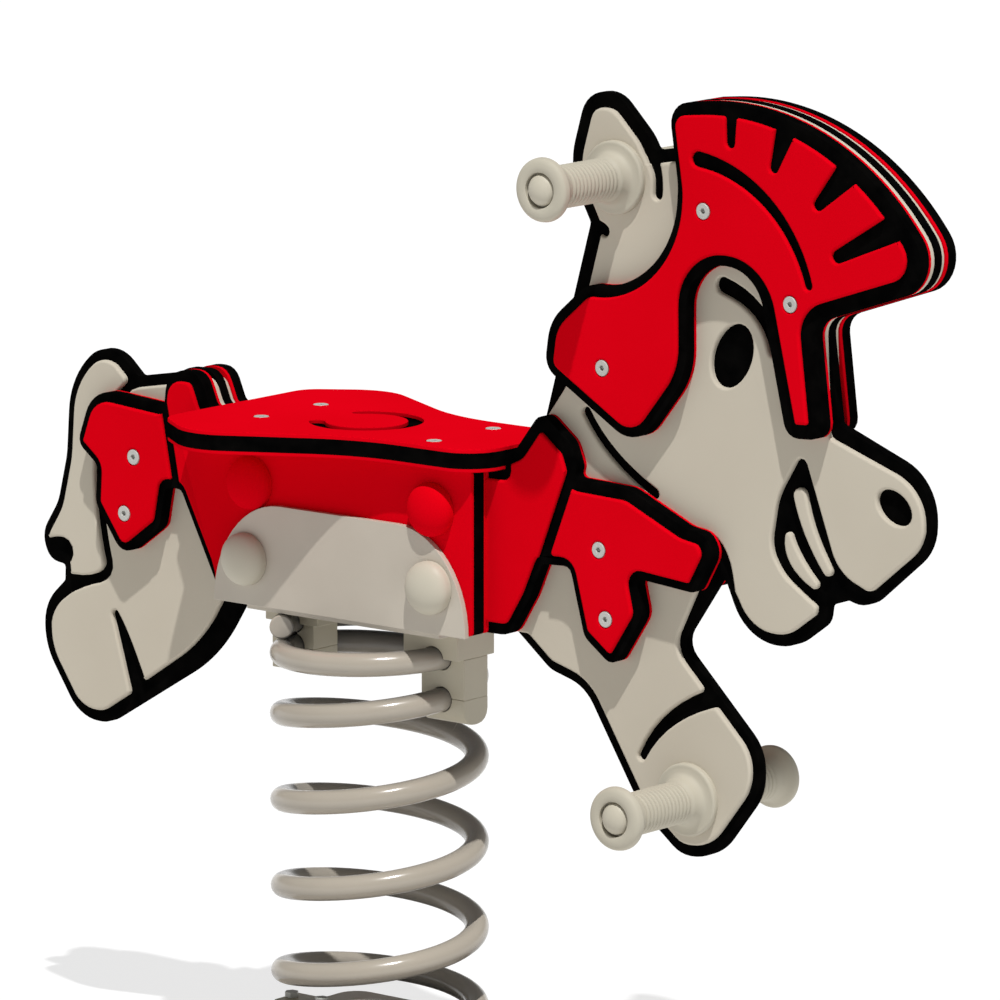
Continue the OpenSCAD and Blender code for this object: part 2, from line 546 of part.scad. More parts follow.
// Grips and pegs, turned about the through rods
rib_from = collar_l + rib_gap;
rib_step = (grip_l - knob_l - rib_from)/grip_ribs;
bore_r = rod_d/2 + fit;
grip_profile = concat([[bore_r, 0]],
  [for (p = collar_shares) [grip_d/2 + p[0]*(flange_d - grip_d)/2, p[1]*collar_l]],
  [for (i = [0:grip_ribs - 1]) let (z = rib_from + i*rib_step) each [[grip_d/2 - rib_d, z],
    [grip_d/2, z + rib_step*rib_share], [grip_d/2, z + rib_step*(1 - rib_share)]]],
  [[grip_d/2 - rib_d, grip_l - knob_l]],
  [for (p = knob_shares) [grip_d/2 + p[0]*(knob_d - grip_d)/2, grip_l - knob_l + p[1]*knob_l]],
  [[plug_d/2 + fit, grip_l], [plug_d/2 + fit, grip_l - plug_depth], [nut_d/2 + fit, grip_l - plug_depth],
    [nut_d/2 + fit, grip_l - plug_depth - nut_h - fit], [bore_r, grip_l - plug_depth - nut_h - fit]]);
module grip(place, side) color(beige) translate([place[0]*blank_l, side*core_y, stack_z + place[1]*blank_l])
  rotate([-side*90, 0, 0]) rotate_extrude($fn = 48) polygon(grip_profile);
module rod(place) color(pale) translate([place[0]*blank_l, 0, stack_z + place[1]*blank_l]) rotate([90, 0, 0]) {
  end = core_y + grip_l - plug_depth;
  translate([0, 0, -end]) cylinder(d = rod_d, h = 2*end, $fn = 32);
  for (s = [0, 180]) rotate([s, 0, 0]) translate([0, 0, end - nut_h]) cylinder(d = nut_d, h = nut_h, $fn = 32);
}
function dome_arc(d, h0, h) = let (n = 7) [for (i = [0:n]) let (a = 90*i/n) [d/2*cos(a), h0 + (h - h0)*sin(a)]];
module caps(place) color(beige) for (s = [-1, 1])
  translate([place[0]*blank_l, s*(core_y + grip_l - plug_depth), stack_z + place[1]*blank_l])
  rotate([-s*90, 0, 0]) rotate_extrude($fn = 40)
    polygon(concat([[0, 0]], dome_arc(plug_d, plug_depth - rim_r, plug_depth + plug_h)));
module hand_grip_right() grip(hand_shares, -1);
module hand_grip_left() grip(hand_shares, 1);
module hand_rod() rod(hand_shares);
module hand_caps() caps(hand_shares);
module foot_peg_right() grip(foot_shares, -1);
module foot_peg_left() grip(foot_shares, 1);
module foot_rod() rod(foot_shares);
module foot_caps() caps(foot_shares);

// Fasteners
function seat_y(p) = p[1] < plate_h ? side_y + plate_t : side_y;
module frame_bolts() color(pale) for (p = frame_bolt_points) {
  bore(p, -seat_y(p), seat_y(p), bolt_d);
  bore(p, seat_y(p), seat_y(p) + bolt_head_h, bolt_head_d);
  bore(p, -seat_y(p) - bolt_head_h, -seat_y(p), bolt_head_d);
}
module domes(upper) for (p = frame_bolt_points, s = [-1, 1]) if ((p[1] > plate_h) == upper)
  translate([p[0], s*seat_y(p), stack_z + p[1]]) rotate([-s*90, 0, 0]) difference() {
    rotate_extrude($fn = 48) polygon(concat([[0, 0]], dome_arc(dome_d, dome_base, dome_h)));
    translate([0, 0, -cut]) cylinder(d = bolt_head_d + 2*fit, h = bolt_head_h + fit + cut, $fn = 32);
  }
module red_caps() color(red) domes(true);
module beige_caps() color(beige) domes(false);
module flush_bolts(points) color(pale) for (p = points) {
  bore(p, -cover_y, cover_y, shank_d);
  bore(p, cover_y - head_h, cover_y, head_d);
  bore(p, -cover_y, -cover_y + head_h, head_d);
}
module helmet_bolts() flush_bolts(mm(helmet_bolt_shares));
module saddle_bolts() flush_bolts(mm(saddle_bolt_shares));

base_plate();
base_blocks();
base_jaws();
base_bolts();
spring();
spring_bracket();
clamp_blocks();
clamp_mid_jaws();
clamp_end_jaws();
clamp_bolts();
body_panel();
helmet_right();
helmet_left();
saddle_right();
saddle_left();
side_right();
side_left();
seat();
hand_grip_right();
hand_grip_left();
hand_rod();
hand_caps();
foot_peg_right();
foot_peg_left();
foot_rod();
foot_caps();
frame_bolts();
red_caps();
beige_caps();
helmet_bolts();
saddle_bolts();
seat_screws();
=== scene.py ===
"""Looks for the spring rider: layered sheet panels, turned grips, domed caps and a painted coil spring."""

import json
import math

import bmesh
import bpy
import numpy as np
from mathutils import Matrix, Vector
from mathutils.geometry import delaunay_2d_cdt

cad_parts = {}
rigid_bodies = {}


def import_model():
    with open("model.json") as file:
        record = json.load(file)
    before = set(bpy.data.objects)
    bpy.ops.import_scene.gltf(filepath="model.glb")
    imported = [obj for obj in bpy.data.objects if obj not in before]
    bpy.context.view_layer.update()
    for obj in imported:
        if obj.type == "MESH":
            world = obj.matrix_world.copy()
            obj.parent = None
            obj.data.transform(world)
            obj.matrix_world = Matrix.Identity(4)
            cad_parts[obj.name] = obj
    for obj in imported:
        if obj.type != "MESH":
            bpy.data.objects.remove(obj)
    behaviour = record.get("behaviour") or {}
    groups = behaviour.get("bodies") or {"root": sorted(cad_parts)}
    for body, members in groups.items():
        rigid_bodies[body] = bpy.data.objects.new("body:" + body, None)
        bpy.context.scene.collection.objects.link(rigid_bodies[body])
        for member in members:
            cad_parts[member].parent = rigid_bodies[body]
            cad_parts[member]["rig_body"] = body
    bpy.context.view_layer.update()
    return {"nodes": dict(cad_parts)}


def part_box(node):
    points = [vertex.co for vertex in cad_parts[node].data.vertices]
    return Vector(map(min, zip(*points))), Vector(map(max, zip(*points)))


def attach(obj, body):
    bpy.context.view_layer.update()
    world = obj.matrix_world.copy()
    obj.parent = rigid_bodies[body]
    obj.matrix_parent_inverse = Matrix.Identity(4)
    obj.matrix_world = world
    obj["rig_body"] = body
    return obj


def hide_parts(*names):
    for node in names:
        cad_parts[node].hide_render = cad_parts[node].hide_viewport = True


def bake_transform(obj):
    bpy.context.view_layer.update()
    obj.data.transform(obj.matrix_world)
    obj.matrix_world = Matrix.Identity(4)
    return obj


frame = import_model()
MM = 0.001

# Distances within which points count as one, and as lying at one level
WELD = 0.02 * MM
LEVEL = 0.01 * MM

# Planes of the stack of sheets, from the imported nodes
CORE_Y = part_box("body_panel")[1].y
COVER_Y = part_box("helmet_left")[1].y
SIDE_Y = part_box("side_left")[1].y
STACK_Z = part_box("side_left")[0].z
SEAT_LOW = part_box("seat")[0].z
SEAT_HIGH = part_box("seat")[1].z

# Depth of the routed lines, and thickness of the coloured skins
ROUTE_D = 5 * MM
RED_SKIN = 3 * MM
BEIGE_SKIN = 4.5 * MM

# Photograph's camera, in metres
IMAGE_PX = 1000
FOCAL_PX = 7859
SENSOR_MM = 36
CAMERA_AT = Vector((4.1146, -4.8881, 1.2541 + STACK_Z))
CAMERA_AIM = Vector((0.12923, 0, 0.10567 + STACK_Z))
CLIP_END = 60

# Colours, linear
RED = (0.67, 0.0005, 0.0075, 1)
RED_DEEP = (0.63, 0.0004, 0.006, 1)
BEIGE = (0.54, 0.492, 0.402, 1)
BEIGE_DEEP = (0.515, 0.465, 0.378, 1)
BLACK = (0.0012, 0.0012, 0.0012, 1)
BLACK_WARM = (0.0028, 0.0026, 0.0024, 1)
PAINT = (0.50, 0.452, 0.378, 1)
PAINT_DEEP = (0.458, 0.41, 0.34, 1)
CLAMP = (0.47, 0.427, 0.325, 1)
CLAMP_DEEP = (0.43, 0.39, 0.295, 1)
COIL = (0.395, 0.353, 0.292, 1)
COIL_DEEP = (0.367, 0.328, 0.271, 1)
# Dark colour of the coil's painted shade
PAINTED_SHADE_COLOUR = (0.10, 0.098, 0.094, 1)
GRIP = (0.495, 0.462, 0.375, 1)
GRIP_DEEP = (0.46, 0.425, 0.342, 1)
CAP = (0.52, 0.482, 0.392, 1)
CAP_DEEP = (0.485, 0.448, 0.36, 1)
BOLT = (0.50, 0.50, 0.465, 1)
BOLT_DEEP = (0.43, 0.43, 0.40, 1)


# Materials

MOTTLE = (0.35, 0.65)
ROUGH_NOISE = (0.3, 0.7)
GRAIN_DEPTH = 0.4 * MM
FINE_DETAIL = 2.0

SHEET_SCALE = 7.0
CORE_SCALE = 60.0
PEBBLE_SCALE = 900.0
MARK_SCALE = 260.0
MARK_DETAIL = 4.0
SHEET_BUMP = 0.08
SHEET_ROUGH = (0.40, 0.50)
SHEET_ROUGH_SCALE = 40.0
SKIN_ROUGH = -0.04
SHEET_SPECULAR = 0.0

COAT_SCALE = 11.0
COAT_ROUGH_SCALE = 35.0
COAT_ROUGH_LESS = 0.04
COAT_ROUGH_MORE = 0.06

# Painted shade on the coil: reach, shares and samples of the occlusion that darkens its colour
PAINTED_SHADE_REACH = 0.25
PAINTED_SHADE_SHARES = (0.2, 0.75)
PAINTED_SHADE_SAMPLES = 8


def new_material(name):
    material = bpy.data.materials.new(name)
    material.use_nodes = True
    tree = material.node_tree
    return material, tree, tree.nodes["Principled BSDF"]


def add_node(tree, kind, **values):
    node = tree.nodes.new(kind)
    for key, value in values.items():
        setattr(node, key, value)
    return node


def object_coords(tree):
    return add_node(tree, "ShaderNodeTexCoord").outputs["Object"]


def noise(tree, coords, scale, detail=3.0):
    node = add_node(tree, "ShaderNodeTexNoise")
    node.inputs["Scale"].default_value = scale
    node.inputs["Detail"].default_value = detail
    tree.links.new(coords, node.inputs["Vector"])
    return node.outputs["Fac"]


def spread(tree, value, low, high, to_low=0.0, to_high=1.0):
    node = add_node(tree, "ShaderNodeMapRange")
    for key, number in (("From Min", low), ("From Max", high), ("To Min", to_low), ("To Max", to_high)):
        node.inputs[key].default_value = number
    tree.links.new(value, node.inputs["Value"])
    return node.outputs["Result"]


def math_node(tree, operation, first, second=None):
    node = add_node(tree, "ShaderNodeMath", operation=operation)
    for socket, value in zip(node.inputs, (first, second)):
        if value is None:
            continue
        if isinstance(value, (int, float)):
            socket.default_value = value
        else:
            tree.links.new(value, socket)
    return node.outputs["Value"]


def mix_colour(tree, factor, first, second):
    node = add_node(tree, "ShaderNodeMix", data_type="RGBA")
    tree.links.new(factor, node.inputs["Factor"])
    for key, value in (("A", first), ("B", second)):
        socket = [s for s in node.inputs if s.name == key and s.type == "RGBA"][0]
        if isinstance(value, tuple):
            socket.default_value = value
        else:
            tree.links.new(value, socket)
    return [s for s in node.outputs if s.type == "RGBA"][0]


def bump(tree, shader, height, strength):
    node = add_node(tree, "ShaderNodeBump")
    node.inputs["Strength"].default_value = strength
    node.inputs["Distance"].default_value = GRAIN_DEPTH
    tree.links.new(height, node.inputs["Height"])
    tree.links.new(node.outputs["Normal"], shader.inputs["Normal"])


def mottled(tree, coords, first, second, scale):
    return mix_colour(tree, spread(tree, noise(tree, coords, scale), *MOTTLE), first, second)


def skin_mask(tree, coords, axis, low, high, skin):
    """1 on the two coloured skins of a sheet between low and high along an axis, 0 in its black core."""
    parts = add_node(tree, "ShaderNodeSeparateXYZ")
    tree.links.new(coords, parts.inputs["Vector"])
    depth = parts.outputs[axis]
    if axis == "Y":
        depth = math_node(tree, "ABSOLUTE", depth)
    outer = math_node(tree, "GREATER_THAN", depth, high - skin)
    inner = math_node(tree, "LESS_THAN", depth, low + skin)
    return math_node(tree, "MAXIMUM", outer, inner)


def sheet_material(name, first, second, axis, low, high, skin):
    """Layered play sheet: coloured skins with a fine pebble on a black core with tool marks."""
    material, tree, shader = new_material(name)
    coords = object_coords(tree)
    mask = skin_mask(tree, coords, axis, low, high, skin)
    face = mottled(tree, coords, first, second, SHEET_SCALE)
    core = mottled(tree, coords, BLACK, BLACK_WARM, CORE_SCALE)
    tree.links.new(mix_colour(tree, mask, core, face), shader.inputs["Base Color"])
    pebble = noise(tree, coords, PEBBLE_SCALE, FINE_DETAIL)
    marks = noise(tree, coords, MARK_SCALE, MARK_DETAIL)
    rough = spread(tree, noise(tree, coords, SHEET_ROUGH_SCALE), *ROUGH_NOISE, *SHEET_ROUGH)
    on_skin = math_node(tree, "MULTIPLY", mask, SKIN_ROUGH)
    tree.links.new(math_node(tree, "ADD", rough, on_skin), shader.inputs["Roughness"])
    bump(tree, shader, math_node(tree, "ADD", pebble, marks), SHEET_BUMP)
    shader.inputs["Specular IOR Level"].default_value = SHEET_SPECULAR
    return material


def open_share(tree):
    """Painted shade factor: 0 where a surface is closed in by others within reach, 1 where it lies open."""
    node = add_node(tree, "ShaderNodeAmbientOcclusion", samples=PAINTED_SHADE_SAMPLES)
    node.inputs["Distance"].default_value = PAINTED_SHADE_REACH
    return spread(tree, node.outputs["AO"], *PAINTED_SHADE_SHARES)


def coat_material(name, first, second, roughness, grain, relief, metallic=0.0, specular=0.4, painted_shade=False):
    """Powder coat, moulded plastic or plated steel, told apart by grain and gloss. Optionally the colour is
    darkened as painted shade where the surface is closed in.
    """
    material, tree, shader = new_material(name)
    coords = object_coords(tree)
    colour = mottled(tree, coords, first, second, COAT_SCALE)
    # Painted shade: the colour darkens where nearby parts close the surface in
    if painted_shade:
        colour = mix_colour(tree, open_share(tree), PAINTED_SHADE_COLOUR, colour)
    tree.links.new(colour, shader.inputs["Base Color"])
    rough = spread(tree, noise(tree, coords, COAT_ROUGH_SCALE), *ROUGH_NOISE,
                   roughness - COAT_ROUGH_LESS, roughness + COAT_ROUGH_MORE)
    tree.links.new(rough, shader.inputs["Roughness"])
    bump(tree, shader, noise(tree, coords, grain, FINE_DETAIL), relief)
    shader.inputs["Metallic"].default_value = metallic
    shader.inputs["Specular IOR Level"].default_value = specular
    return material


MATERIALS = {
    "body": sheet_material("beige_sheet", BEIGE, BEIGE_DEEP, "Y", -CORE_Y, CORE_Y, BEIGE_SKIN),
    "cover": sheet_material("red_cover_sheet", RED, RED_DEEP, "Y", CORE_Y, COVER_Y, RED_SKIN),
    "side": sheet_material("red_side_sheet", RED, RED_DEEP, "Y", COVER_Y, SIDE_Y, RED_SKIN),
    "seat": sheet_material("red_seat_sheet", RED, RED_DEEP, "Z", SEAT_LOW, SEAT_HIGH, RED_SKIN),
    "bracket": coat_material("bracket_coat", PAINT, PAINT_DEEP, roughness=0.42, grain=420.0, relief=0.10),
    # The coil's colour carries painted shade where it is closed in
    "coil": coat_material("coil_coat", COIL, COIL_DEEP, roughness=0.18, grain=300.0, relief=0.05,
                          specular=0.5, painted_shade=True),
    "clamp": coat_material("clamp_coat", CLAMP, CLAMP_DEEP, roughness=0.38, grain=260.0, relief=0.14),
    "base": coat_material("base_coat", PAINT, PAINT_DEEP, roughness=0.45, grain=380.0, relief=0.12),
    "grip": coat_material("grip_plastic", GRIP, GRIP_DEEP, roughness=0.55, grain=1100.0, relief=0.12,
                          specular=0.15),
    "red_cap": coat_material("red_cap_plastic", RED, RED_DEEP, roughness=0.45, grain=900.0, relief=0.04,
                             specular=0.0),
    "beige_cap": coat_material("beige_cap_plastic", CAP, CAP_DEEP, roughness=0.42, grain=900.0, relief=0.04,
                               specular=0.15),
    "bolt": coat_material("bolt_steel", BOLT, BOLT_DEEP, roughness=0.48, grain=700.0, relief=0.06,
                          metallic=0.1, specular=0.3),
}


# Shared mesh tools

CORNER_R = 5 * MM
CORNER_SKIP = 0.5 * MM
CORNER_SHARE = 0.45
CORNER_LEAST = math.radians(35)
CORNER_STEPS = 4
RIM_STEPS = 4
EASE_STEPS = 2
MITRE_LEAST = 0.4
FACING = 0.99
UPRIGHT = 0.1
FLAT_ANGLE = math.radians(0.6)
EDGE_ANGLE = math.radians(55)
TOP_NEAR = 0.1 * MM
AXIS_NEAR = 1e-7
SHEET_SMOOTH = 32
TURNED_SMOOTH = 40


def add_mesh(name, mesh_data, material):
    piece = bpy.data.objects.new(name, mesh_data)
    bpy.context.scene.collection.objects.link(piece)
    mesh_data.materials.clear()
    mesh_data.materials.append(MATERIALS[material])
    return piece


def place_piece(piece, node, body):
    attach(piece, body)
    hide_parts(node)


def smooth_faces(mesh_data, angle):
    mesh_data.polygons.foreach_set("use_smooth", [True] * len(mesh_data.polygons))
    mesh_data.set_sharp_from_angle(angle=math.radians(angle))


def rim_loops(tops):
    """Ordered rims of a set of faces, each with the faces on its left as seen from outside."""
    inside = set(tops)
    after = {}
    for face in tops:
        for loop in face.loops:
            if not all(near in inside for near in loop.edge.link_faces):
                after[loop.vert] = loop.link_loop_next.vert
    rims = []
    while after:
        rim = [next(iter(after))]
        vert = after.pop(rim[0])
        while vert is not rim[0]:
            rim.append(vert)
            vert = after.pop(vert)
        rims.append(rim)
    return rims


def inward_ways(points, out):
    count = len(points)
    ways = [out.cross((points[(i + 1) % count] - points[i]).normalized()) for i in range(count)]
    return [(ways[i - 1] + ways[i]) / max(MITRE_LEAST, 1 + ways[i - 1].dot(ways[i])) for i in range(count)]


def inside_faces(points, faces, ends, edges):
    """The triangles whose middle lies inside the rims, by counting crossings."""
    first = np.array([ends[i] for i, _ in edges])
    second = np.array([ends[j] for _, j in edges])
    middles = np.array([sum((points[i] for i in face), Vector((0, 0))) / len(face) for face in faces])
    level = middles[:, None, 1]
    crossing = (first[None, :, 1] > level) != (second[None, :, 1] > level)
    run = np.where(second[:, 1] == first[:, 1], 1, second[:, 1] - first[:, 1])
    reach = first[:, 0] + (level - first[:, 1]) * (second[:, 0] - first[:, 0]) / run
    odd = (crossing & (reach > middles[:, None, 0])).sum(1) % 2 == 1
    return [face for face, keep in zip(faces, odd) if keep]


def round_tops(work, plane, radius):
    """Rounds the rims of the flat tops that lie at plane on either side of the middle."""
    work.normal_update()
    for side in (-1, 1):
        out = Vector((0, side, 0))
        tops = [f for f in work.faces
                if f.normal.y * side > FACING and abs(f.verts[0].co.y - side * plane) < LEVEL]
        if not tops:
            continue
        rims = rim_loops(tops)
        bmesh.ops.delete(work, geom=tops, context="FACES_ONLY")
        last_row, edges = [], []
        for rim in rims:
            points = [v.co.copy() for v in rim]
            ways = inward_ways(points, out)
            rows = [rim]
            for k in range(1, RIM_STEPS + 1):
                turn = math.pi / 2 * k / RIM_STEPS
                inset, drop = radius * (1 - math.cos(turn)), radius * (1 - math.sin(turn))
                rows.append([work.verts.new(p + w * inset - out * drop) for p, w in zip(points, ways)])
            for vert in rim:
                vert.co -= out * radius
            count = len(rim)
            for low, high in zip(rows, rows[1:]):
                for i in range(count):
                    n = (i + 1) % count
                    work.faces.new([low[i], low[n], high[n], high[i]])
            edges += [(len(last_row) + i, len(last_row) + (i + 1) % count) for i in range(count)]
            last_row += rows[-1]
        ends = [Vector((v.co.x, v.co.z)) for v in last_row]
        points, _, faces, origin = delaunay_2d_cdt(ends, edges, [], 1, AXIS_NEAR)[:4]
        verts = [last_row[o[0]] if o else work.verts.new((p.x, side * plane, p.y))
                 for p, o in zip(points, origin)]
        for face in inside_faces(points, faces, ends, edges):
            corners = [verts[i] for i in (face if side < 0 else reversed(face))]
            if len(set(corners)) == 3 and work.faces.get(corners) is None:
                work.faces.new(corners)


def bevel(work, edges, offset, segments):
    bmesh.ops.bevel(work, geom=edges, offset=offset, segments=segments, profile=0.5, affect="EDGES",
                    clamp_overlap=False, loop_slide=True)


def is_wall(face):
    return abs(face.normal.y) < UPRIGHT


def island_corners(work, plane):
    """Upright outer corners of the islands that stand up to plane on either side."""
    found = []
    for edge in work.edges:
        levels = sorted(abs(v.co.y) for v in edge.verts)
        upright = abs(levels[1] - plane) < LEVEL and abs(levels[0] - plane + ROUTE_D) < LEVEL
        if upright and len(edge.link_faces) == 2 and all(is_wall(f) for f in edge.link_faces):
            if edge.is_convex and edge.calc_face_angle(0) > CORNER_LEAST:
                found.append(edge)
    return found


def round_corners(work, plane):
    """Rounds the islands' corners, less where the rims beside them are short."""
    work.normal_update()
    for edge in island_corners(work, plane):
        rims = [e for v in edge.verts for e in v.link_edges
                if e is not edge and any(is_wall(f) for f in e.link_faces)]
        reach = min([CORNER_R] + [CORNER_SHARE * e.calc_length() for e in rims])
        if reach > CORNER_SKIP:
            bevel(work, [edge], reach, CORNER_STEPS)


def redrawn(work, plane, redraw):
    """Moves the points of routed lines by a plan of the face, leaving the sheet's own outline."""
    for vert in work.verts:
        on_face = abs(vert.co.y) > plane - ROUTE_D - LEVEL
        on_outline = any(edge.other_vert(vert).co.y * vert.co.y < 0 for edge in vert.link_edges)
        if on_face and not on_outline:
            vert.co.x, vert.co.z = redraw(Vector((vert.co.x, vert.co.z)))
    bmesh.ops.remove_doubles(work, verts=work.verts, dist=WELD)


def eased_copy(node, material, ease, plane=None, radius=None, redraw=None):
    """A copy of a CAD node with its cut edges eased, standing for the node.

    With a plane the islands that stand that far from the middle get round corners and rims.
    """
    source = frame["nodes"][node]
    work = bmesh.new()
    work.from_mesh(source.data)
    bmesh.ops.remove_doubles(work, verts=work.verts, dist=WELD)
    bmesh.ops.dissolve_limit(work, angle_limit=FLAT_ANGLE, verts=work.verts, edges=work.edges)
    if redraw is not None:
        redrawn(work, plane, redraw)
    if plane is not None:
        round_corners(work, plane)
    sharp = [e for e in work.edges if len(e.link_faces) == 2 and e.calc_face_angle(0) > EDGE_ANGLE]
    if plane is not None:
        sharp = [e for e in sharp if not any(abs(abs(v.co.y) - plane) < TOP_NEAR for v in e.verts)]
    if ease:
        bevel(work, sharp, ease, EASE_STEPS)
    if plane is not None:
        round_tops(work, plane, radius)
    mesh_data = bpy.data.meshes.new(node + "_eased")
    work.to_mesh(mesh_data)
    work.free()
    smooth_faces(mesh_data, SHEET_SMOOTH)
    piece = add_mesh(node + "_shown", mesh_data, material)
    normals = piece.modifiers.new("face_normals", "WEIGHTED_NORMAL")
    normals.keep_sharp = True
    place_piece(piece, node, source["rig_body"])


def turned(work, profile, steps, matrix):
    """Adds a turned form to a mesh: profile is (radius, distance along the axis)."""
    rings = []
    for radius, along in profile:
        if radius < AXIS_NEAR:
            rings.append([work.verts.new(matrix @ Vector((0, 0, along)))])
            continue
        angles = [2 * math.pi * k / steps for k in range(steps)]
        rings.append([work.verts.new(matrix @ Vector((radius * math.cos(a), radius * math.sin(a), along)))
                      for a in angles])
    for low, high in zip(rings, rings[1:]):
        for k in range(steps):
            n = (k + 1) % steps
            corners = [low[k % len(low)], low[n % len(low)], high[n % len(high)], high[k % len(high)]]
            work.faces.new(list(dict.fromkeys(corners)))


def finish_turned(work, name, material, angle=TURNED_SMOOTH):
    bmesh.ops.recalc_face_normals(work, faces=work.faces)
    mesh_data = bpy.data.meshes.new(name)
    work.to_mesh(mesh_data)
    work.free()
    smooth_faces(mesh_data, angle)
    return add_mesh(name, mesh_data, material)


def across(x, y, z, side):
    """A frame whose Z axis points out of the horse's side."""
    return Matrix.Translation((x, y, z)) @ Matrix.Rotation(-side * math.pi / 2, 4, "X")


def spline(points, steps):
    """A smooth line through given profile points."""
    line = []
    last = len(points) - 1
    for i in range(last):
        p0, p1, p2, p3 = (Vector(points[min(max(k, 0), last)]) for k in (i - 1, i, i + 1, i + 2))
        for k in range(steps):
            t = k / steps
            line.append(0.5 * (2 * p1 + (p2 - p0) * t + (2 * p0 - 5 * p1 + 4 * p2 - p3) * t * t
                               + (3 * p1 - p0 - 3 * p2 + p3) * t ** 3))
    line.append(Vector(points[last]))
    return [(p.x, p.y) for p in line]


# Lines of the horse, drawn finer than in the solids

def on_panel(x, z):
    """A point of the panel's plan, from millimetres above the foot of the stack."""
    return Vector((x * MM, STACK_Z + z * MM))


EYE_AT = on_panel(376, 252)
EYE_FROM = Vector((27 * MM, 17.5 * MM))
EYE_TO = Vector((28.2 * MM, 18.5 * MM))
EYE_FROM_TURN = math.radians(75)
EYE_TO_TURN = math.radians(63)
EYE_SHIFT = Vector((-2.35 * MM, -1.2 * MM))
EYE_MARGIN = 1.05

THROAT = (on_panel(347, 110), on_panel(378, 108), on_panel(373, 66))
THROAT_REACH = 9 * MM
THROAT_NECK = Vector((-12 * MM, 0))
THROAT_HEAD = (Vector((-8.5 * MM, -7.5 * MM)), Vector((-9 * MM, -4 * MM)), Vector((-3.2 * MM, 0)))
NECK_AT = on_panel(358.5, 73.5)
NECK_REACH = 6 * MM
NECK_MOVE = Vector((-9 * MM, 0))

MUZZLE_AT = on_panel(510.8, 76.2)
MUZZLE_REACH = 3.2 * MM

FOOT = (on_panel(-312.5, -17), on_panel(-356, -31), on_panel(-359.9, -55.6))
FOOT_MIDDLE = on_panel(-315, -58)

# Root of the tail, where a line runs in from the border: a point of the solid's rim and its place here
TAIL_ROOT = (
    (on_panel(-280, 172.3), on_panel(-270.3, 163.6)),
    (on_panel(-268.5, 162), on_panel(-290, 146)),
    (on_panel(-265, 160), on_panel(-279, 143.5)),
    (on_panel(-261.5, 159), on_panel(-265.5, 156)),
)
TAIL_REACH = 0.6 * MM

# Each line in millimetres: start, pull and end of its curve, and how far from it points still belong to it.
# Then, at start, middle and end: its width against the solid's, and its move.
SAME = (1, 1, 1)
STAYS = ((0, 0), (0, 0), (0, 0))
LINES = {
    "brow": ((369, 305), (408, 297), (415, 264), 8,
             (1.15, 1.15, 1.15), ((-5, 1.6), (-2.5, -1.2), (0, -4))),
    "ear_foot": ((288.6, 399.3), (291.8, 398.2), (293.6, 390.8), 1.5,
                 SAME, ((-1.5, -2), (-2.4, -2), (-1.6, -0.6))),
    "ear_slot": ((292, 407), (300, 392), (299, 376), 7,
                 (1, 1.1, 1.12), ((0, 0), (-0.6, -0.8), (-1.1, -2.6))),
    "lower_tooth": ((430.5, 112), (432, 93), (456, 76.5), 7.5,
                    (0.65, 1.25, 0.85), STAYS),
    "hind_leg": ((-250.3, -98.4), (-183.3, -58.2), (-147.8, -2.3), 9,
                 SAME, ((-2.6, 5.7), (-6, 6.5), (-7.5, 5))),
    "sole": ((-269.2, -109.8), (-305, -134), (-333, -115), 8,
             SAME, ((-1, 3.5), (0, 3.2), (0, 0))),
    "tail_end": ((-336.6, -7.6), (-317, -8), (-302.4, -2.1), 3,
                 SAME, ((0, -3.2), (0, -3.2), (0, -1.5))),
    "chin": ((378.8, 62.1), (380, 59), (381.8, 54.4), 1.5,
             SAME, ((-1.4, 0), (-0.4, 0), (0, 0))),
    "muzzle_top": ((475.4, 203.3), (549, 181), (563, 136.6), 5,
                   SAME, ((-6, -4), (-2.2, -2.9), (-0.5, 0))),
}
CURVE_STEPS = 60
STEPS = [k / CURVE_STEPS for k in range(CURVE_STEPS + 1)]
NEARBY = 0.01


def on_curve(t, start, pull, end):
    """The point at t of a curve that leaves its start and meets its end along lines through pull."""
    return (1 - t) ** 2 * start + 2 * t * (1 - t) * pull + t * t * end


def through(t, first, middle, last):
    """The value at t of the curve that has three given values at 0, one half and 1."""
    return (1 - t) * (1 - 2 * t) * first + 4 * t * (1 - t) * middle + t * (2 * t - 1) * last


def nearest_step(point, curve, reach):
    """Where on a curve a point is nearest, or None when it is out of reach."""
    if (point - on_curve(0.5, *curve)).length > (curve[2] - curve[0]).length + reach:
        return None
    t = min(STEPS, key=lambda s: (on_curve(s, *curve) - point).length)
    if (on_curve(t, *curve) - point).length > reach:
        return None
    return t


def redraw_eye(point):
    plain = Matrix.Rotation(-EYE_FROM_TURN, 2) @ (point - EYE_AT)
    shares = Vector((plain.x / EYE_FROM.x, plain.y / EYE_FROM.y))
    if shares.length > EYE_MARGIN:
        return None
    return EYE_AT + EYE_SHIFT + Matrix.Rotation(EYE_TO_TURN, 2) @ (shares * EYE_TO)


def redraw_line(point, start, pull, end, reach, widths, moves):
    curve = (on_panel(*start), on_panel(*pull), on_panel(*end))
    t = nearest_step(point, curve, reach * MM)
    if t is None:
        return None
    middle = on_curve(t, *curve)
    return middle + through(t, *widths) * (point - middle) + through(t, *map(Vector, moves)) * MM


def redraw_throat(point):
    if (point - NECK_AT).length < NECK_REACH:
        return point + NECK_MOVE
    t = nearest_step(point, THROAT, THROAT_REACH)
    if t is None:
        return None
    offset = point - on_curve(t, *THROAT)
    along = on_curve(t + NEARBY, *THROAT) - on_curve(t - NEARBY, *THROAT)
    on_neck = along.x * offset.y - along.y * offset.x < 0
    return point + (THROAT_NECK if on_neck else through(t, *THROAT_HEAD))


